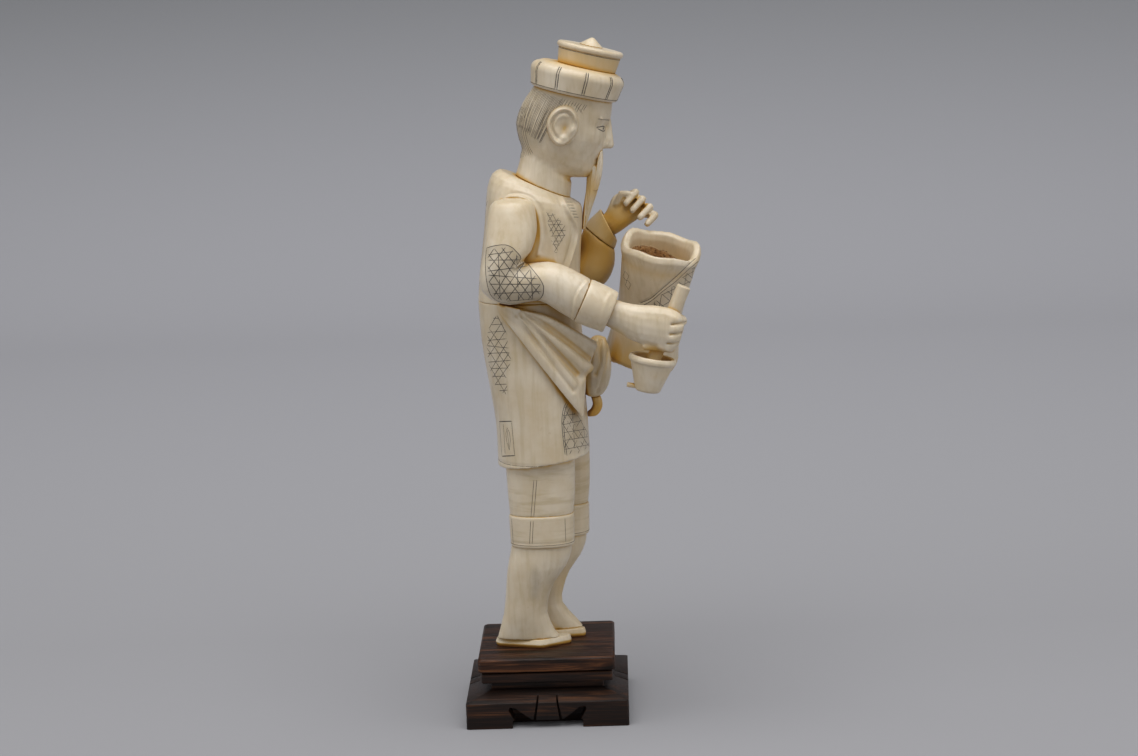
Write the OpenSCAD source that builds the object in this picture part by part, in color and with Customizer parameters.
// Carved figure of an old man with a vase and a dipper, on a stepped wooden stand.
// The figure faces +X, its right hand is on the -Y side and it stands on Z = 0.

/* [Stand] */
// Side of the square base
base_side = 60; // [54:0.5:70]
// Height of the upright face of the base
base_face_h = 9.6; // [9:0.1:14]
// Rise of the sloped top of the base
base_slope_h = 3; // [1:0.1:5]
// Depth of the carved arches in the base
arch_depth = 8; // [4:0.5:9]
// Width between the feet of the base
arch_w = 26; // [22:0.5:32]
// Side of the recessed neck
neck_side = 42; // [36:0.5:46]
// Height of the recessed neck
neck_h = 3.1; // [2:0.1:5]
// Side of the lower slab
low_slab_side = 48.6; // [47:0.2:54]
// Thickness of the lower slab
low_slab_h = 3.6; // [2.5:0.1:5]
// Depth of the groove between the slabs
groove_in = 1.2; // [0.6:0.1:2]
// Height of the groove between the slabs
groove_h = 0.8; // [0.5:0.1:1.5]
// Side of the top slab
top_slab_side = 50.6; // [48:0.2:56]
// Thickness of the top slab
top_slab_h = 5.1; // [4.5:0.1:7]
// Chamfer of the top slab
slab_chamfer = 0.7; // [0.4:0.1:1.2]

/* [Legs] */
// Thickness of a shoe
shoe_h = 3.2; // [2.5:0.1:4]
// Length of a shoe
shoe_len = 28.6; // [27:0.1:31]
// Reach of the heel behind the middle of the leg
shoe_heel = 19.4; // [18.5:0.1:20.5]
// Width of a shoe
shoe_w = 12.4; // [11.5:0.1:14]
// Distance of each leg from the middle
leg_y = 8.6; // [8.4:0.1:9.4]
// Length of the bare calf
calf_h = 36; // [33:0.5:40]
// Depth of the ankle, front to back
ankle_d = 15.5; // [13:0.5:18]
// Height of the trouser cuff
band_h = 12; // [9:0.5:15]
// Depth of the trouser leg, front to back
trouser_d = 25.6; // [23:0.2:27]
// Width of the trouser leg
trouser_w = 16.8; // [14:0.2:16.8]
// Length of the trouser leg above its cuff, at its middle
trouser_h = 19.7; // [17:0.1:23]
// How far the left leg stands in front of the right one
left_step = 5.4; // [4:0.1:6.5]
// Diameter of the pin in each foot
pin_d = 4; // [3:0.1:5]
// Depth of the pin in the top slab
pin_slab = 4; // [2:0.5:4.4]
// Depth of the pin in the calf
pin_calf = 12; // [8:0.5:20]

/* [Jacket] */
// Depth of the jacket at its hem, front to back
hem_d = 34.4; // [33:0.2:38]
// Width of the jacket at its hem
hem_w = 40; // [37:0.5:43]
// Slope of the hem, higher in front
hem_slope = 7; // [0:0.5:10]
// How far the seam lies behind the middle of the hem
seam_back = 3.4; // [1:0.2:5]
// Length of the jacket below the seam
skirt_h = 59.7; // [52:0.5:66]
// Depth of the jacket at the seam
seam_d = 37.6; // [36:0.2:40]
// Width of the jacket at the seam
seam_w = 36; // [34:0.5:40]
// How far the neckline lies in front of the seam
neck_forward = 2.7; // [1:0.1:4]
// Forward tilt of the neckline
neck_tilt = 24; // [18:0.5:28]
// Height of the upper jacket at its middle
torso_h = 42.9; // [41:0.1:45]
// Depth of the chest
chest_d = 35.6; // [34:0.2:38]
// Width of the chest
chest_w = 34; // [32:0.5:38]
// Diameter of the waist dowel
waist_dowel_d = 6; // [4:0.5:8]

/* [Sleeves] */
// Thickness of the upper sleeve, front to back
upper_arm_d = 19; // [17:0.5:21]
// Thickness of the upper sleeve, side to side
upper_arm_w = 16; // [14:0.5:18]
// Drop from the right shoulder to the elbow
upper_arm_len = 23.4; // [22:0.1:26]
// Reach from the right elbow to the end of the right cuff
right_fore_len = 39.5; // [38:0.5:42]
// Slope of the right forearm below level
right_fore_slope = 25; // [20:0.5:30]
// How far the left elbow lies in front of the shoulder
left_elbow_reach = 20.7; // [18:0.1:23]
// Drop from the left shoulder to the elbow
left_elbow_drop = 30.5; // [28:0.1:33]
// Reach from the left elbow to the end of the left cuff
left_fore_len = 22.1; // [21:0.1:24]
// Outer diameter of the left cuff at its end
left_cuff_d = 13.4; // [12.5:0.1:15]
// Slope of the left forearm above level
left_fore_slope = 52; // [49:0.5:55]
// Slope above level in which the left cuff opens
left_mouth_slope = 26; // [20:0.5:32]
// Length of a turned cuff
cuff_len = 11; // [9:0.5:13]
// Outer diameter of a cuff at its end
cuff_d = 15.6; // [15:0.1:18]
// Depth of the hollow at the end of a cuff
cuff_hollow = 2.5; // [1.5:0.1:4]
// Wall of a cuff at its end
cuff_wall = 1.3; // [1:0.1:1.8]
// Length of a closed hand, from the wrist to the knuckles
hand_len = 28; // [26:0.5:30]

/* [Head] */
// Forward tilt of the head and hat
head_tilt = 14; // [10:0.5:18]
// Depth of the head under the hat
head_d = 29.2; // [28:0.2:31]
// Width of the head
head_w = 27; // [25:0.2:29]
// Height of the head from the chin to the hat
face_h = 28.5; // [26:0.2:31]
// Height of the hat's seat above the neckline
head_rise = 31.7; // [30.5:0.1:33]
// Reach of the hat's seat in front of the neckline
head_reach = 16.2; // [15:0.1:17.5]
// Height of an ear
ear_h = 14.5; // [12:0.5:16]
// Width of an ear
ear_w = 12; // [10:0.5:13]
// Length of the beard
beard_len = 26.5; // [24:0.5:29]

/* [Hat] */
// Diameter of the hat's band at its seat
band_seat_d = 30.4; // [30.2:0.1:33]
// Greatest diameter of the hat's band
band_d = 34.6; // [33:0.1:36]
// Height of the hat's band
band_rise = 10.2; // [9:0.1:11.5]
// Diameter of the crown at its foot
crown_foot_d = 21.4; // [19:0.1:23]
// Diameter of the crown at its top
crown_top_d = 23; // [21:0.1:24]
// Height of the crown
crown_h = 5.6; // [4.5:0.1:7]
// How far the crown sits in front of the band's middle
crown_shift = 2.6; // [1:0.1:3]
// Diameter of the top plate
plate_d = 24.6; // [24.2:0.1:27]
// Thickness of the top plate
plate_h = 2.3; // [1.8:0.1:2.8]
// Diameter of the knob at its foot
knob_d = 8.6; // [7:0.1:11]
// Height of the knob
knob_h = 3.2; // [2.6:0.1:5]

/* [Vase] */
// Length of the vase
vase_h = 46.8; // [45:0.2:48.6]
// Diameter of the vase at its rim
vase_rim_d = 30; // [28.6:0.2:31]
// Diameter of the vase at its waist
vase_waist_d = 24.4; // [23:0.2:25.4]
// Diameter of the vase at its foot
vase_foot_d = 28; // [26:0.2:29]
// Wall of the vase at its waist
vase_wall = 2.6; // [2:0.1:3.4]
// Depth of the vase's hollow
vase_depth = 14; // [12:0.5:18]
// Lean of the vase, its rim away from the figure
vase_lean = 11.5; // [9:0.5:13]
// Lean of the vase towards the right hand
vase_side_lean = 16; // [13:0.5:18]
// Height of the rim's waves
rim_wave = 1.6; // [0.8:0.1:2.4]

/* [Dipper] */
// Outer diameter of the dipper's cup at its rim
cup_d = 17.6; // [15.5:0.1:18]
// Outer diameter of the cup's foot
cup_foot_d = 9.4; // [8:0.1:11]
// Height of the cup
cup_h = 13.2; // [11.6:0.1:14]
// Wall of the cup
cup_wall = 1.5; // [1.2:0.1:1.8]
// Height of the cup's thick rim
cup_rim_h = 2.6; // [2:0.1:3.5]
// Diameter of the handle
handle_d = 5.2; // [4.4:0.1:5.4]
// Length of the handle
handle_len = 39.2; // [36:0.2:41]
// Lean of the handle
handle_lean = 24; // [20:0.5:28]
// Lean of the cup
cup_lean = 11; // [9:0.5:14]
// How far the handle stands behind the middle of the cup
cup_off = 2; // [0.8:0.1:2.4]
// Thickness of the cup's floor
cup_floor = 2.6; // [2:0.1:3]
// Diameter of the peg beside the cup's foot
peg_d = 1.8; // [1.4:0.1:2.4]

/* [Fits] */
// Clearance round each glued pin, in the radius
glue_gap = 0.05; // [0.02:0.01:0.1]

/* [Hidden] */
$fn = 48;
bone = "#efe6cf";
warm_bone = "#e6d6b0";
dark_wood = "#3a2019";

// Heights, from the floor up
z_base_top = base_face_h + base_slope_h;
z_low_slab = z_base_top + neck_h;
z_groove = z_low_slab + low_slab_h;
z_top_slab = z_groove + groove_h;
z_sole = z_top_slab + top_slab_h;
z_calf = z_sole + shoe_h;
z_band = z_calf + calf_h;
z_trouser = z_band + band_h;
z_hem = z_trouser + trouser_h;
z_seam = z_hem + skirt_h;
z_neck = z_seam + torso_h;

// Centres of the hem, of the seam and of the neckline
hem_at = [1.2, 0, z_hem];
seam_at = hem_at + [-seam_back, 0, skirt_h];
neck_at = seam_at + [neck_forward, 0, torso_h];

// Plain shape helpers
function unit(v) = v / norm(v);
function lean(tilt) = [sin(tilt), 0, cos(tilt)];
function spow(v, p) = sign(v) * pow(abs(v), p);

// Smooth value at t along a list of stations
function along(list, t) =
    let(last = len(list) - 1, i = min(floor(t), last - 1), f = t - i,
        p0 = list[max(i - 1, 0)], p1 = list[i], p2 = list[i + 1], p3 = list[min(i + 2, last)])
    0.5 * (2 * p1 + (p2 - p0) * f + (2 * p0 - 5 * p1 + 4 * p2 - p3) * f * f
        + (3 * p1 - p0 - 3 * p2 + p3) * f * f * f);

// Oval ring across direction d: half sizes a and b, squareness e, narrower in front by egg
function oval(c, d, a, b, e, egg, n) =
    let(u = unit(cross([0, 1, 0], d)), v = cross(unit(d), u))
    [for (i = [0 : n - 1]) let(t = 360 * i / n)
        c + a * spow(cos(t), 2 / e) * u + b * (1 - egg * cos(t)) * spow(sin(t), 2 / e) * v];

// Rings along stations [x, y, z, tilt, a, b, squareness, egg], with steps between two stations
function rings(stations, steps, n) =
    [for (k = [0 : (len(stations) - 1) * steps])
        let(s = along(stations, k / steps)) oval([s[0], s[1], s[2]], lean(s[3]), s[4], s[5], s[6], s[7], n)];

function middle(ring) = [for (k = [0 : 2]) let(v = [for (p = ring) p[k]]) v * [for (p = ring) 1] / len(ring)];

// Closed skin over rings that all have the same number of points
module skin(list) {
    n = len(list[0]);
    last = (len(list) - 1) * n;
    polyhedron(
        points = concat([for (r = list) each r], [middle(list[0]), middle(list[len(list) - 1])]),
        faces = concat(
            [for (i = [0 : n - 1]) [i, (i + 1) % n, last + n]],
            [for (i = [0 : n - 1]) [last + (i + 1) % n, last + i, last + n + 1]],
            [for (j = [0 : n : last - n], i = [0 : n - 1])
                let(a = j + i, b = j + (i + 1) % n) each [[a, a + n, b + n], [a, b + n, b]]]),
        convexity = 6);
}

// Cylinder of radius r from one point to another
module rod(from, to, r) {
    d = to - from;
    translate(from) rotate([0, acos(d[2] / norm(d)), atan2(d[1], d[0])]) cylinder(h = norm(d), r = r);
}

// Small rounded bar between two points
module bar(from, to, r1, r2) {
    hull() {
        translate(from) sphere(r = r1, $fn = 6);
        translate(to) sphere(r = r2, $fn = 6);
    }
}

// Square block of the stand with clipped corners
module block(side, height, clip = 0.6) {
    h = side / 2;
    linear_extrude(height = height)
        polygon([for (k = [0 : 3]) let(q = [[h, h - clip], [h - clip, h]])
            each [for (p = q) [p[0] * cos(90 * k) - p[1] * sin(90 * k), p[0] * sin(90 * k) + p[1] * cos(90 * k)]]]);
}

// Square frustum of the stand
module taper(side, top_side, height, clip = 0.6) {
    function corners(s, z) = [for (k = [0 : 3]) let(h = s / 2, q = [[h, h - clip], [h - clip, h]])
        each [for (p = q) [p[0] * cos(90 * k) - p[1] * sin(90 * k), p[0] * sin(90 * k) + p[1] * cos(90 * k), z]]];
    skin([corners(side, 0), corners(top_side, height)]);
}

// Apron of one side: two leaves cut beside a hanging tongue
tongue_top = 5.6;
tongue_foot = 9;
tongue_drop = 3;
leaf_top = 8.1;
line_w = 1;
line_depth = 5;
module apron_opening() {
    half = arch_w / 2;
    translate([-half, -1]) square([arch_w, tongue_drop + 1]);
    for (s = [-1, 1])
        polygon([[s * half, 0], [s * (half - 0.6), tongue_drop], [s * (half + 1.4), leaf_top - 1.4],
            [s * (half + 0.9), leaf_top], [s * (half - 1.2), leaf_top - 0.4],
            [s * (half - 4.4), leaf_top - 2.9], [s * (tongue_foot / 2 + 1.6), tongue_drop + 0.4],
            [s * tongue_foot / 2, tongue_drop], [s * tongue_foot / 2, 0]]);
}
module tongue_lines() {
    for (s = [-1, 1])
        polygon([[s * tongue_foot / 2, tongue_drop - 1], [s * (tongue_foot / 2 + line_w), tongue_drop - 1],
            [s * (tongue_top / 2 + line_w / 2), z_base_top + 1], [s * tongue_top / 2, z_base_top + 1]]);
}
module stand_base() {
    color(dark_wood)
    difference() {
        union() {
            block(base_side, base_face_h);
            translate([0, 0, base_face_h]) taper(base_side, neck_side, base_slope_h);
        }
        for (k = [0 : 3])
            rotate(90 * k) translate([0, arch_depth - base_side / 2, 0]) rotate([90, 0, 0]) {
                linear_extrude(height = arch_depth + 1) apron_opening();
                translate([0, 0, arch_depth - line_depth]) linear_extrude(height = line_depth + 1) tongue_lines();
            }
    }
}
module stand_neck() {
    color(dark_wood) translate([0, 0, z_base_top]) block(neck_side, neck_h);
}
module stand_low_slab() {
    color(dark_wood) {
        translate([0, 0, z_low_slab]) block(low_slab_side, low_slab_h);
        translate([0, 0, z_groove]) block(low_slab_side - 2 * groove_in, groove_h);
    }
}
module stand_top_slab() {
    color(dark_wood)
    difference() {
        union() {
            translate([0, 0, z_top_slab]) block(top_slab_side, top_slab_h - slab_chamfer, 1);
            translate([0, 0, z_sole - slab_chamfer])
                taper(top_slab_side, top_slab_side - 2 * slab_chamfer, slab_chamfer, 1);
        }
        for (s = [-1, 1]) foot_bore(s);
    }
}

// Feet and legs: side -1 is the right one and 1 the left one
function leg_at(side) = [side > 0 ? left_step : 0, side * leg_y, 0];
pin_x = -6.4;
module foot_pin(side, gap = 0) {
    translate(leg_at(side) + [pin_x, 0, z_sole - pin_slab - gap])
        cylinder(h = pin_slab + shoe_h + pin_calf + 2 * gap, r = pin_d / 2 + gap);
}
module foot_bore(side) { foot_pin(side, glue_gap); }
// Shoe: round heel, bulge on the outside and narrow toe, all beside the middle of the figure
module shoe(side) {
    inner = side * 0.4;
    color(bone)
    difference() {
        hull() for (z = [[0, 0.5], [shoe_h * 0.45, 0], [shoe_h - 0.01, 1]])
            translate([leg_at(side)[0], inner, z_sole + z[0]]) {
                translate([4 - shoe_heel, side * 4.2]) cylinder(h = 0.01, r = 4 - z[1], $fn = 24);
                translate([shoe_len - shoe_heel - 2.2, side * 4.2]) cylinder(h = 0.01, r = 2.2 - z[1] / 2, $fn = 24);
                translate([-2.4, side * (shoe_w - 4.2)]) cylinder(h = 0.01, r = 4.2 - z[1], $fn = 24);
                translate([-2, side * 3.4]) cylinder(h = 0.01, r = 3.4 - z[1], $fn = 24);
            }
        foot_bore(side);
    }
}
module calf(side) {
    c = leg_at(side);
    ankle = ankle_d / 2;
    top = trouser_d / 2;
    step = side > 0 ? 1.5 : 0;
    in = leg_y - shoe_w / 2 - 0.4;
    function at(x, h, a, b, y) = [c[0] + x, c[1] - side * y * in, z_calf + h * calf_h, 0, a, b, 2, 0];
    color(bone)
    difference() {
        skin(rings([at(step - 6.7, 0, ankle + 4.1 + step, 4.8, 1),
            at(step - 7.3, 0.08, ankle + 2.6 + step, 5, 0.9), at(-7.6, 0.26, ankle + 0.5, 5.4, 0.6),
            at(-6.8, 0.43, ankle + 0.4, 5.6, 0.4), at(-5.3, 0.6, ankle + 1.3, 6.2, 0.2),
            at(-2.7, 0.77, top - 1.9, 6.9, 0), at(-1, 0.92, top - 1.4, 7.2, 0), at(-0.7, 1, top - 1.6, 7.2, 0)],
            2, 22));
        foot_bore(side);
    }
}
module trouser_cuff(side) {
    c = leg_at(side);
    function at(h, a, b) = [c[0] - 0.2, c[1], z_band + h, 0, trouser_d / 2 - a, trouser_w / 2 - b, 2.2, 0];
    color(bone)
        skin(rings([at(0, 1.3, 0.7), at(0.5, 0.9, 0.3), at(band_h - 0.5, 0.6, 0), at(band_h, 1, 0.4)], 1, 24));
}
module trouser_leg(side) {
    c = leg_at(side);
    base = trouser_d / 2;
    side_r = trouser_w / 2;
    top = z_hem - (c[0] - hem_at[0]) * tan(-hem_slope);
    color(warm_bone)
        skin(rings([
            [c[0] - 0.2, c[1], z_trouser, 0, base - 1, side_r - 0.4, 2.2, 0],
            [c[0], c[1], z_trouser + trouser_h * 0.4, 0, base - 0.3, side_r - 0.1, 2.2, 0],
            [c[0], c[1], top, -hem_slope, base / cos(hem_slope), side_r, 2.2, 0]], 2, 24));
}

// Jacket, from the hem to the seam and from the seam to the neckline
function skirt_at(h, x, a, b, tilt = 0) =
    [hem_at[0] - seam_back * h + x, 0, z_hem + skirt_h * h, tilt, a, b, 2.3, 0];
skirt_stations = [
    skirt_at(0, 0, hem_d / 2 / cos(hem_slope), hem_w / 2, -hem_slope),
    skirt_at(0.25, 0.5, hem_d / 2 - 0.1, hem_w / 2 - 0.1, -4),
    skirt_at(0.5, -0.1, hem_d / 2 + 0.5, hem_w / 2 - 0.4, -2),
    skirt_at(0.75, -0.3, (hem_d + seam_d) / 4 + 0.7, (hem_w + seam_w) / 4),
    skirt_at(1, 0, seam_d / 2, seam_w / 2)];
module skirt_solid() { skin(rings(skirt_stations, 3, 36)); }
module waist_dowel(gap = 0) {
    color(warm_bone)
    translate(seam_at - [0, 0, 8 + gap]) cylinder(h = 16 + 2 * gap, r = waist_dowel_d / 2 + gap);
}
module jacket_skirt() {
    color(bone)
    difference() {
        skirt_solid();
        waist_dowel(glue_gap);
    }
}
function torso_at(h, x, a, b, e, tilt) =
    [seam_at[0] + neck_forward * h + x, 0, z_seam + torso_h * h, tilt, a, b, e, 0];
torso_stations = [
    torso_at(0, 0, seam_d / 2, seam_w / 2, 2.3, 0),
    torso_at(0.28, 0.1, seam_d / 2 - 0.4, chest_w / 2 + 0.2, 2.3, 0),
    torso_at(0.55, 0.7, chest_d / 2 + 0.2, chest_w / 2, 2.4, 1),
    torso_at(0.75, 1, chest_d / 2, chest_w / 2 - 0.2, 2.4, 6),
    torso_at(0.88, 0.8, chest_d / 2 - 0.4, chest_w / 2 - 1.4, 2.3, 12),
    torso_at(0.96, 0.3, chest_d / 2 - 2.2, chest_w / 2 - 4, 2.2, 20),
    torso_at(0.9876, 1.23, chest_d / 2 - 3.8, chest_w / 2 - 6.5, 2, neck_tilt)];
module torso_solid() { skin(rings(torso_stations, 2, 36)); }
module jacket_body() {
    color(bone)
    difference() {
        torso_solid();
        waist_dowel(glue_gap);
        neck_dowel(glue_gap);
        for (s = [-1, 1]) shoulder_dowel(s, glue_gap);
    }
}

// Fan of folds that is drawn from the right elbow to the sash in front
fan_root = [-11.2, 1.2];
fan_edge = [[24.6, -15.6], [21.8, -20.6], [23.6, -25], [17.8, -27.6], [17, -33], [18.8, -42.6]];
fan_folds = [1, 0.3, 0.9, 0, 1, 0.6];
fan_rise = 2.8;
fan_arch = 2.6;
module fan_solid() {
    across = 28;
    back = 5;
    function front_y(x) = -hem_w / 2 - 0.6 + 0.012 * pow(max(0, x + 2), 2);
    function at(u, v, in) =
        let(e = along(fan_edge, v * (len(fan_edge) - 1)),
            x = seam_at[0] + fan_root[0] + (e[0] - fan_root[0]) * u,
            z = z_seam + (fan_root[1] - 2.2 * v) * (1 - u) + e[1] * u + fan_arch * (1 - v) * sin(180 * u))
        [x, in + front_y(x) - fan_rise * u * (0.1 + 0.9 * along(fan_folds, v * (len(fan_folds) - 1))), z];
    skin([for (u = [0.02, 0.12, 0.25, 0.4, 0.55, 0.7, 0.82, 0.92, 1]) concat(
        [for (k = [0 : across]) at(u, k / across, 0)],
        [for (k = [4 : -1 : 0]) [at(u, k / 4, 0)[0], front_y(at(u, k / 4, 0)[0]) + back - u, at(u, k / 4, 0)[2]]])]);
}
module jacket_fan() {
    color(bone)
    difference() {
        fan_solid();
        skirt_solid();
        torso_solid();
    }
}

// Sash knot in front of the jacket, and the tail below it
knot_x = 22.8;
knot_drop = 26;
module knot_solid() {
    c = [seam_at[0] + knot_x, -1.5, z_seam - knot_drop];
    function at(h, x, a, b) = [c[0] + x, c[1], c[2] + h, 0, a, b, 2, 0];
    skin(rings([at(-11.6, 0, 1, 1), at(-10.4, 0, 3.4, 3.4), at(-7, 0.2, 5.4, 5.6), at(-1, 0.8, 6, 6.5),
        at(5.5, 1.4, 5, 5.6), at(10, 2, 3, 3.6), at(11.4, 2, 1, 1.2)], 2, 18));
}
module sash_knot() {
    color(warm_bone)
    difference() {
        knot_solid();
        skirt_solid();
    }
}
module sash_tail() {
    c = [seam_at[0] + knot_x, -1.5, z_seam - knot_drop];
    function at(x, h, tilt, a) = [c[0] + x, c[1], c[2] + h, tilt, a, a * 0.8, 2, 0];
    color(warm_bone)
    difference() {
        skin(rings([at(-0.6, -9.4, 140, 1.5), at(0.8, -12, 160, 1.8), at(1.2, -14.8, 190, 1.9),
            at(-0.2, -17.2, 235, 1.8), at(-2.6, -18, 265, 1)], 3, 12));
        knot_solid();
    }
}

// Arms: the sleeve bends round a crease point inside the elbow
shoulder_in = [-6.8, 1.5, -5.8];
function shoulder(side) = neck_at + [shoulder_in[0], side * (chest_w / 2 - shoulder_in[1]), shoulder_in[2]];
right_elbow = shoulder(-1) + [-1.7, -6.5, -upper_arm_len];
right_tilt = 90 + right_fore_slope;
right_cuff_at = right_elbow + (right_fore_len - cuff_len) * lean(right_tilt);
left_elbow = shoulder(1) + [left_elbow_reach, 3.5, -left_elbow_drop];
left_tilt = 90 - left_mouth_slope;
left_end = left_elbow + left_fore_len * lean(90 - left_fore_slope);
left_cuff_at = left_end - [3.6, 0, 4.4];
left_cuff_tilt = 40;

function station(c, tilt, a, b) = [c[0], c[1], c[2], tilt, a, b, 2, 0];
// Ring of the bend that keeps its inner side at the crease
function bend(crease, tilt, a, b) =
    station(crease + (a + 0.4) * [cos(tilt), 0, -sin(tilt)], tilt, a, b);

module right_sleeve_solid() {
    s = shoulder(-1);
    d = upper_arm_d / 2;
    w = upper_arm_w / 2;
    crease = right_elbow + [4.2, 0, 2];
    f = lean(right_tilt);
    up = [-f[2], 0, f[0]];
    reach = right_fore_len - cuff_len;
    skin(rings([
        station(s + [0.3, 1.2, 1.6], 180, d - 6.5, w - 5),
        station(s + [0, 0.4, 0.6], 180, d - 2.6, w - 2),
        station(s + [-0.3, -0.6, -2.2], 180, d - 0.9, w - 0.6),
        station(s + [-0.8, -3, -9.6], 180, d - 0.1, w),
        station(s + [-2.4, -5.4, -17.4], 178, d - 0.8, w + 0.2),
        bend(crease, 172, d - 2.1, w + 0.2),
        bend(crease, 146, d - 0.9, w + 0.2),
        bend(crease, 120, d - 1.5, w),
        bend(crease, 97, d - 2.3, w),
        station(right_elbow + reach * 0.46 * f + 1 * up, right_tilt - 9, d - 2.2, w),
        station(right_elbow + reach * 0.72 * f + 1 * up, right_tilt - 3, d - 1.5, w),
        station(right_cuff_at, right_tilt, cuff_d / 2 + 0.3, cuff_d / 2 + 0.3)], 2, 22));
}
module left_sleeve_solid() {
    s = shoulder(1);
    d = upper_arm_d / 2;
    w = upper_arm_w / 2;
    crease = left_elbow + [0.1, 0, 8.6];
    skin(rings([
        station(s + [0.8, -1.2, 1.4], 165, d - 6.5, w - 5),
        station(s + [1.2, -0.4, 0], 162, d - 2.6, w - 2),
        station(s + [2.8, 0.6, -4.2], 158, d - 0.9, w - 0.6),
        station(s + [7.6, 2.4, -12.6], 152, d - 0.3, w),
        station(s + [13, 3.4, -20.8], 148, d - 1, w),
        bend(crease, 136, d - 2, w),
        bend(crease, 108, d - 1.5, w),
        bend(crease, 78, d - 1.3, w),
        bend(crease, 48, d - 0.9, w),
        station(left_cuff_at - [1.4, 0, 6.6], 30, d - 1.7, w - 0.6),
        station(left_cuff_at, left_cuff_tilt, left_cuff_d / 2 + 0.5, left_cuff_d / 2 + 0.3)], 2, 22));
}
module shoulder_dowel(side, gap = 0) {
    s = shoulder(side);
    color(warm_bone)
    translate([s[0] + 2, side * (chest_w / 2 - 7 - gap), s[2] - 9])
        rotate([-side * 90, 0, 0]) cylinder(h = 12 + 2 * gap, r = 2 + gap);
}
module sleeve(side) {
    color(bone)
    difference() {
        if (side < 0) right_sleeve_solid(); else left_sleeve_solid();
        torso_solid();
        skirt_solid();
        shoulder_dowel(side, glue_gap);
    }
}
module wrist_dowel(end, tilt, gap = 0) {
    color(warm_bone)
    translate(end) rotate([0, tilt, 0]) translate([0, 0, -cuff_hollow - 4 - gap])
        cylinder(h = 9 + 2 * gap, r = 1.8 + gap);
}
right_end = right_cuff_at + cuff_len * lean(right_tilt);
module right_cuff() {
    r = cuff_d / 2;
    floor_z = cuff_len - cuff_hollow;
    color(bone)
    difference() {
        translate(right_cuff_at) rotate([0, right_tilt, 0]) rotate_extrude()
            polygon([[0, 0], [r + 0.3, 0], [r + 0.5, 1.2], [r + 0.4, cuff_len * 0.55], [r, cuff_len - 0.8],
                [r - 0.4, cuff_len], [r - cuff_wall, cuff_len], [r - cuff_wall, floor_z], [0, floor_z]]);
        wrist_dowel(right_end, right_tilt, glue_gap);
    }
}
module left_cuff() {
    r = left_cuff_d / 2;
    color(bone)
    difference() {
        skin(rings([station(left_cuff_at, left_cuff_tilt, r + 0.5, r + 0.3),
            station(left_end, left_tilt, r, r)], 2, 24));
        translate(left_end) rotate([0, left_tilt, 0]) translate([0, 0, -cuff_hollow])
            cylinder(h = cuff_hollow + 2, r = r - cuff_wall);
        wrist_dowel(left_end, left_tilt, glue_gap);
    }
}

// Right hand, closed round the handle of the dipper
hand_unit = hand_len / 28;
handle_top = right_end + hand_unit * [26.73, 1.5, 8.35];
handle_down = -lean(handle_lean);
module handle(gap = 0) {
    rod(handle_top, handle_top + handle_len * handle_down, handle_d / 2 + gap);
}
module curled_finger(t) {
    r = 1.8 * hand_unit;
    path_r = handle_d / 2 + 0.15 + r;
    u = [-handle_down[2], 0, handle_down[0]];
    skin([for (k = [0 : 7]) let(turn = -95 + 40 * k, e = u * cos(turn) + [0, sin(turn), 0],
            s = k == 7 ? 0.55 : 1)
        [for (i = [0 : 7]) handle_top + t * handle_down + path_r * e
            + s * r * (cos(45 * i + 22.5) * e + sin(45 * i + 22.5) * handle_down)]]);
}
module right_hand() {
    w = right_end - cuff_hollow * lean(right_tilt);
    u = [-handle_down[2], 0, handle_down[0]];
    g = hand_unit;
    function palm(x, y, z, tilt, a, b) = station(w + g * [x, y, z], tilt, g * a, g * b);
    color(bone)
    difference() {
        union() {
            skin(rings([palm(0, 0, 0, right_tilt, 5.1, 4.7), palm(5.4, -0.1, -2.7, 108, 5.4, 4.7),
                palm(11.4, -0.6, -5.2, 101, 6.7, 4.7), palm(17.4, -1.4, -6.4, 98, 7.6, 4.5),
                palm(22.8, -2, -7.6, 100, 7.6, 3.9), palm(26, -1.9, -8.7, 104, 6.6, 3.2),
                palm(27.8, -1.6, -9.3, 106, 4.6, 2)], 2, 16));
            for (k = [0 : 3]) {
                t = (11.8 + 3.55 * k) * g;
                knuckle = handle_top + t * handle_down + g * (3 * u - [0, 3, 0]);
                curled_finger(t);
                bar(knuckle - g * [8, 0.4, -1], knuckle, 1.8 * g, 1.9 * g);
                bar(knuckle + g * [0, 0.6, 0], knuckle + g * [0.8, 3.2, 0], 1.8 * g, 1.7 * g);
            }
            bar(w + g * [13, 2, -3.4], w + g * [18, 5.6, -2.6], 2.9 * g, 2.3 * g);
            bar(w + g * [18, 5.6, -2.6], w + g * [24, 7.6, -4], 2.3 * g, 1.8 * g);
        }
        handle(glue_gap);
        wrist_dowel(right_end, right_tilt, glue_gap);
    }
}

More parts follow.
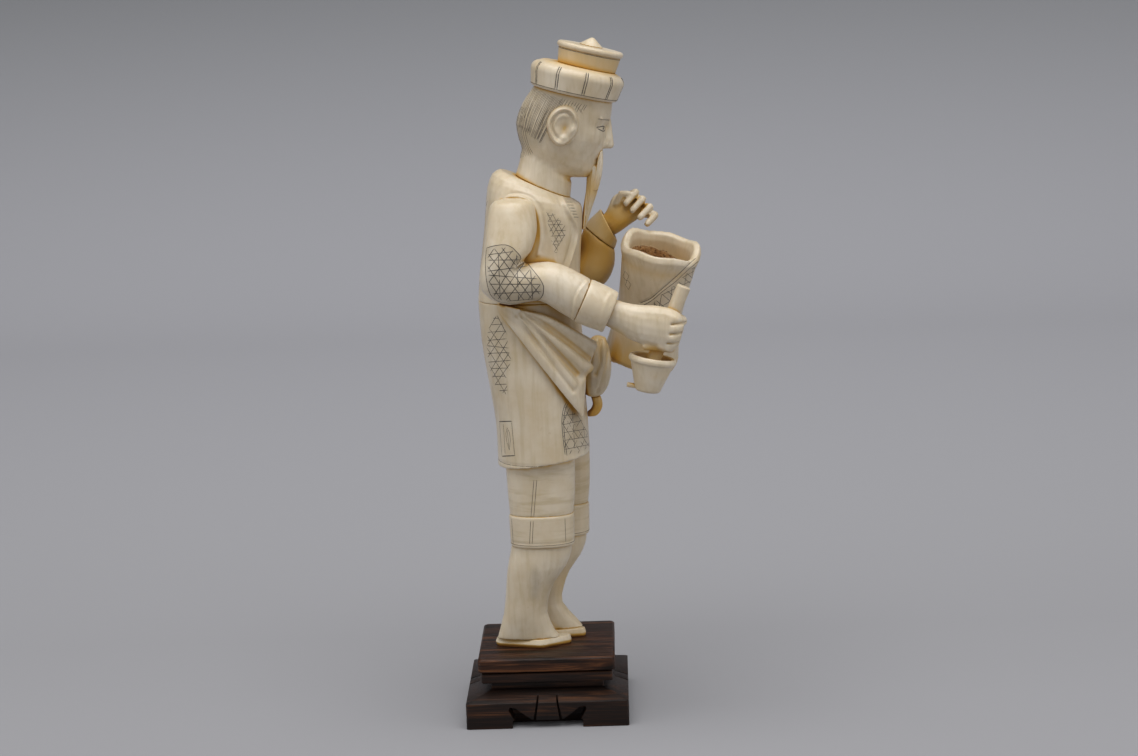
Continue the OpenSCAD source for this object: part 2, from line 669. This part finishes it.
// Left hand, with its curled fingers on the rim of the vase
module left_hand() {
    w = left_end - cuff_hollow * lean(left_tilt);
    g = hand_unit;
    knuckles = [[10.7, 1.6, 11.7], [12.8, 1.8, 9.5], [14.4, 1.8, 7.1], [15.6, 1.6, 4.7]];
    joints = [[12.7, -2, 13.2], [15.2, -2.4, 10.6], [17.8, -2.8, 7.6], [19.7, -3.2, 4.5]];
    tips = [[8.9, -4.6, 9.4], [11.2, -4.9, 6.9], [13.9, -5.2, 4.1], [16.6, -5.4, 1.6]];
    function palm(x, y, z, tilt, a, b) = station(w + g * [x, y, z], tilt, g * a, g * b);
    color(bone)
    difference() {
        union() {
            skin(rings([palm(0, 0, 0, left_tilt, 4.4, 4), palm(3.6, 0, 1.9, 52, 4.5, 4),
                palm(6.4, 0.2, 4.7, 42, 5.4, 4), palm(8.6, 0.6, 7, 38, 6.4, 3.6),
                palm(10.8, 1, 8.9, 36, 6.4, 2.9), palm(12.2, 1, 10.4, 36, 4.8, 1.9)], 2, 18));
            for (k = [0 : 3]) {
                bar(w + g * knuckles[k], w + g * joints[k], 1.7 * g, 1.55 * g);
                bar(w + g * joints[k], w + g * tips[k], 1.55 * g, 1.35 * g);
            }
            bar(w + g * [5.6, -1.6, 8.6], w + g * [7.2, -2.4, 12.6], 2 * g, 1.6 * g);
            bar(w + g * [7.2, -2.4, 12.6], w + g * [9.8, -3, 12.8], 1.6 * g, 1.3 * g);
        }
        vase_outside();
        wrist_dowel(left_end, left_tilt, glue_gap);
    }
}

// Head, built up from the neckline to the seat of the hat
hat_seat = neck_at + [head_reach, 0, head_rise];
function in_head(p) = hat_seat + [p[0] * cos(head_tilt) + p[2] * sin(head_tilt), p[1],
    p[2] * cos(head_tilt) - p[0] * sin(head_tilt)];
function face_at(x, h, tilt, a, b, egg) =
    let(c = in_head([x, 0, -h * face_h])) [c[0], c[1], c[2], head_tilt + tilt, a, b, 2, egg];
function neck_ring(x, z, tilt, a, b) = [neck_at[0] + x, 0, neck_at[2] + z, tilt, a, b, 2, 0];
module skull() {
    d = head_d / 2;
    w = head_w / 2;
    skin(rings([
        neck_ring(4.2 * cos(neck_tilt), -4.2 * sin(neck_tilt), neck_tilt, 10.8, 9.8),
        neck_ring(5, 3.4, 24, 10.3, 9.2),
        neck_ring(5.2, 5.8, 26, 10.1, 8.9),
        face_at(-1.5, 0.91, 12, d - 1.5, w - 4.6, 0.2),
        face_at(-1.1, 0.76, 5, d + 0.4, w - 2.4, 0.16),
        face_at(-1.6, 0.53, 1, d + 2.1, w - 0.4, 0.08),
        face_at(-1.5, 0.33, 0, d + 1.8, w, 0.04),
        face_at(-0.8, 0.17, 0, d + 1.3, w + 0.1, 0.02),
        face_at(0, 0, 0, d - 0.1, w, 0)], 2, 24));
}
module ear(side) {
    function out(turn) = side * (head_w / 2 + 0.9 - 0.8 * cos(turn));
    function rim(turn, r = 1) = in_head([-1.2 + r * (ear_w / 2 - 1.2) * cos(turn), out(turn),
        -11.3 + r * (ear_h / 2 - 1.2) * sin(turn)]);
    skin([for (k = [0 : 8]) let(turn = side * (30 + 33 * k), c = rim(turn), o = unit(c - rim(turn, 0.2)))
        [for (i = [0 : 5]) c + 1.3 * (cos(60 * i) * o + sin(60 * i) * [0, side, 0])]]);
    hull() for (k = [0 : 4]) translate(rim(60 * k, 0.9)) sphere(r = 0.7, $fn = 6);
    bar(in_head([1, side * (head_w / 2 - 0.4), -8.6]), in_head([1.4, side * (head_w / 2 - 0.6), -14.6]), 1.4, 1.6);
}
module head() {
    color(bone)
    difference() {
        union() {
            skull();
            for (s = [-1, 1]) ear(s);
            hull() {
                translate(in_head([14.2, 0, -7])) sphere(r = 1.3, $fn = 12);
                translate(in_head([17, 0, -15.4])) sphere(r = 1.4, $fn = 12);
                for (s = [-1, 1]) translate(in_head([14.6, s * 1.9, -16])) sphere(r = 1.2, $fn = 12);
            }
            for (s = [-1, 1]) bar(in_head([13.8, s * 1.8, -6.6]), in_head([11.4, s * 7.4, -6.2]), 1.5, 1.3);
            bar(in_head([12.9, -2.6, -20.2]), in_head([12.9, 2.6, -20.2]), 1.4, 1.4);
            bar(in_head([12.6, -2, -22.2]), in_head([12.6, 2, -22.2]), 1.4, 1.4);
        }
        neck_dowel(glue_gap);
        hat_dowel(glue_gap);
    }
}
module neck_dowel(gap = 0) {
    color(warm_bone)
    translate(neck_at + [1, 0, 0]) rotate([0, neck_tilt, 0]) translate([0, 0, -9 - gap])
        cylinder(h = 18 + 2 * gap, r = 2.5 + gap);
}
module beard() {
    c = in_head([head_d / 2 - 4, 0, -0.79 * face_h]);
    g = beard_len / 26.5;
    function at(k, x, a, b) = [c[0] + g * x, 0, c[2] - k * beard_len, 188, g * a, g * b, 2, 0];
    function strand(side, x, y, z, a) = [c[0] + g * x, side * g * y, c[2] + g * z, 176, g * a, g * a, 2, 0];
    color(bone)
    difference() {
        union() {
            skin(rings([at(-0.06, -1.4, 2.2, 3.4), at(0.08, 1.2, 2.5, 3.6), at(0.24, 1.4, 2.5, 3.1),
                at(0.45, 0.5, 2.1, 2.5), at(0.66, -1.1, 1.6, 1.8), at(0.88, -2.5, 1, 1.1),
                at(0.96, -3, 0.5, 0.6)], 2, 16));
            for (s = [-1, 1]) skin(rings([strand(s, 3.2, 1.4, 5.4, 0.7), strand(s, 4.1, 2.6, 3.2, 1.1),
                strand(s, 3.9, 3.1, -1, 1.3), strand(s, 3.2, 2.7, -6, 1.3), strand(s, 1.9, 1.8, -11, 1.1)], 2, 8));
        }
        skull();
        torso_solid();
    }
}

// Hat, piece on piece along the tilted axis of the head
module on_head(x = 0, z = 0) { translate(hat_seat) rotate([0, head_tilt, 0]) translate([x, 0, z]) children(); }
module hat_dowel(gap = 0) {
    color(warm_bone) on_head(1, -6 - gap) cylinder(h = 6 + band_rise + 3 + 2 * gap, r = 2 + gap);
}
module hat_band() {
    r = band_d / 2;
    flat = crown_foot_d / 2 + crown_shift + 0.1;
    color(bone)
    difference() {
        on_head() rotate_extrude()
            polygon(concat([[0, 0], [band_seat_d / 2, 0], [band_seat_d / 2 + 0.9, 0.7]],
                [for (t = [-15 : 15 : 75]) [r - 3 + 3 * cos(t), band_rise - 3.6 + 3 * sin(t)]],
                [[flat, band_rise], [0, band_rise]]));
        hat_dowel(glue_gap);
    }
}
module hat_crown() {
    color(warm_bone)
    difference() {
        on_head(crown_shift, band_rise) cylinder(h = crown_h, r1 = crown_foot_d / 2, r2 = crown_top_d / 2);
        hat_dowel(glue_gap);
    }
}
module hat_plate() {
    r = plate_d / 2;
    color(bone) on_head(crown_shift, band_rise + crown_h) rotate_extrude()
        polygon(concat([[0, 0], [r - plate_h * 0.4, 0]],
            [for (t = [-60 : 30 : 90]) [r - plate_h / 2 + plate_h / 2 * cos(t), plate_h / 2 * (1 + sin(t))]],
            [[0, plate_h]]));
}
module hat_knob() {
    r = knob_d / 2;
    color(bone) on_head(crown_shift, band_rise + crown_h + plate_h) rotate_extrude()
        polygon([[0, 0], [r, 0], [r, 0.3], [r * 0.72, knob_h * 0.36], [r * 0.4, knob_h * 0.7],
            [r * 0.14, knob_h * 0.95], [0, knob_h]]);
}

// Vase, a length of hollow bone with a waved rim and foot
vase_axis = [cos(vase_side_lean) * sin(vase_lean), -sin(vase_side_lean), cos(vase_side_lean) * cos(vase_lean)];
vase_grip = left_end + hand_unit * [10.57, -6.83, -0.77];
vase_inward = unit([0.586, -0.738, -0.337]);
vase_foot = vase_grip + vase_rim_d / 2 * vase_inward - vase_h * vase_axis;
function vase_ring(r, z, wave, phase) = [for (i = [0 : 31]) let(t = 11.25 * i)
    [r * cos(t), r * sin(t), z + wave * (0.6 * sin(3 * t + phase) + 0.4 * sin(5 * t + 2 * phase))]];
module in_vase() { translate(vase_foot) rotate([vase_side_lean, vase_lean, 0]) children(); }
vase_outline = [[vase_foot_d / 2 - 0.8, 0], [vase_foot_d / 2, 0.04], [vase_foot_d / 2 - 0.6, 0.14],
    [vase_waist_d / 2 + 0.2, 0.32], [vase_waist_d / 2, 0.46], [vase_waist_d / 2 + 0.7, 0.66],
    [vase_rim_d / 2 - 1.1, 0.86], [vase_rim_d / 2, 0.96]];
function outer_rings() = [for (p = vase_outline) let(near_end = max(1 - p[1] / 0.14, (p[1] - 0.86) / 0.1, 0))
    vase_ring(p[0], vase_h * p[1], min(near_end, 1) * rim_wave, 20)];
module vase_outside() {
    in_vase() skin(concat(outer_rings(), [vase_ring(vase_rim_d / 2 - 1, vase_h, rim_wave, 20)]));
}
module vase() {
    rim = vase_rim_d / 2;
    bottom = vase_h - vase_depth;
    color(warm_bone)
    in_vase() skin(concat([vase_ring(vase_foot_d / 2 - 4, 3, 0, 0), vase_ring(vase_foot_d / 2 - 2.6, 0.6, rim_wave, 20)],
        outer_rings(),
        [vase_ring(rim - 1, vase_h, rim_wave, 20), vase_ring(rim - vase_wall - 0.4, vase_h - 0.6, rim_wave, 20),
        vase_ring(rim - vase_wall - 1.2, vase_h - 3, rim_wave * 0.6, 20),
        vase_ring(vase_waist_d / 2 - vase_wall + 1, vase_h * 0.75, 0, 0),
        vase_ring(vase_waist_d / 2 - vase_wall, bottom, 0, 0)]));
}

// Dipper: cup, handle and peg
cup_foot = handle_top + handle_len * handle_down + cup_off * lean(cup_lean + 90) - 1.9 * lean(cup_lean);
module in_cup() { translate(cup_foot) rotate([0, cup_lean, 0]) children(); }
module dipper_cup() {
    r = cup_d / 2;
    foot = cup_foot_d / 2;
    color(bone)
    difference() {
        in_cup() rotate_extrude()
            polygon([[0, 0], [foot - 0.6, 0], [foot, 0.6], [r - 0.9, cup_h - cup_rim_h],
                [r - 0.2, cup_h - cup_rim_h + 0.3], [r, cup_h - cup_rim_h / 2], [r - 0.4, cup_h - 0.3],
                [r - 1, cup_h], [r - cup_wall - 0.5, cup_h - 0.4], [foot - cup_wall + 0.3, cup_floor],
                [0, cup_floor]]);
        handle(glue_gap);
        cup_peg(glue_gap);
    }
}
module cup_peg(gap = 0) {
    in_cup() translate([-cup_foot_d / 2 + 1.4 + gap, 0, 1.3]) rotate([0, -90, 0])
        cylinder(h = 4.4 + gap, r = peg_d / 2 + gap);
}
module dipper_handle() { color(bone) handle(); }
module dipper_peg() { color(warm_bone) cup_peg(); }

stand_base();
stand_neck();
stand_low_slab();
stand_top_slab();
color(warm_bone) foot_pin(-1);  // right_foot_pin
color(warm_bone) foot_pin(1);  // left_foot_pin
shoe(-1);  // right_shoe
shoe(1);  // left_shoe
calf(-1);  // right_calf
calf(1);  // left_calf
trouser_cuff(-1);  // right_trouser_cuff
trouser_cuff(1);  // left_trouser_cuff
trouser_leg(-1);  // right_trouser_leg
trouser_leg(1);  // left_trouser_leg
jacket_skirt();
jacket_body();
waist_dowel();
jacket_fan();
sash_knot();
sash_tail();
sleeve(-1);  // right_sleeve
right_cuff();
right_hand();
shoulder_dowel(-1);  // right_shoulder_dowel
wrist_dowel(right_end, right_tilt);  // right_wrist_dowel
sleeve(1);  // left_sleeve
left_cuff();
left_hand();
shoulder_dowel(1);  // left_shoulder_dowel
wrist_dowel(left_end, left_tilt);  // left_wrist_dowel
neck_dowel();
head();
beard();
hat_dowel();
hat_band();
hat_crown();
hat_plate();
hat_knob();
vase();
dipper_cup();
dipper_handle();
dipper_peg();
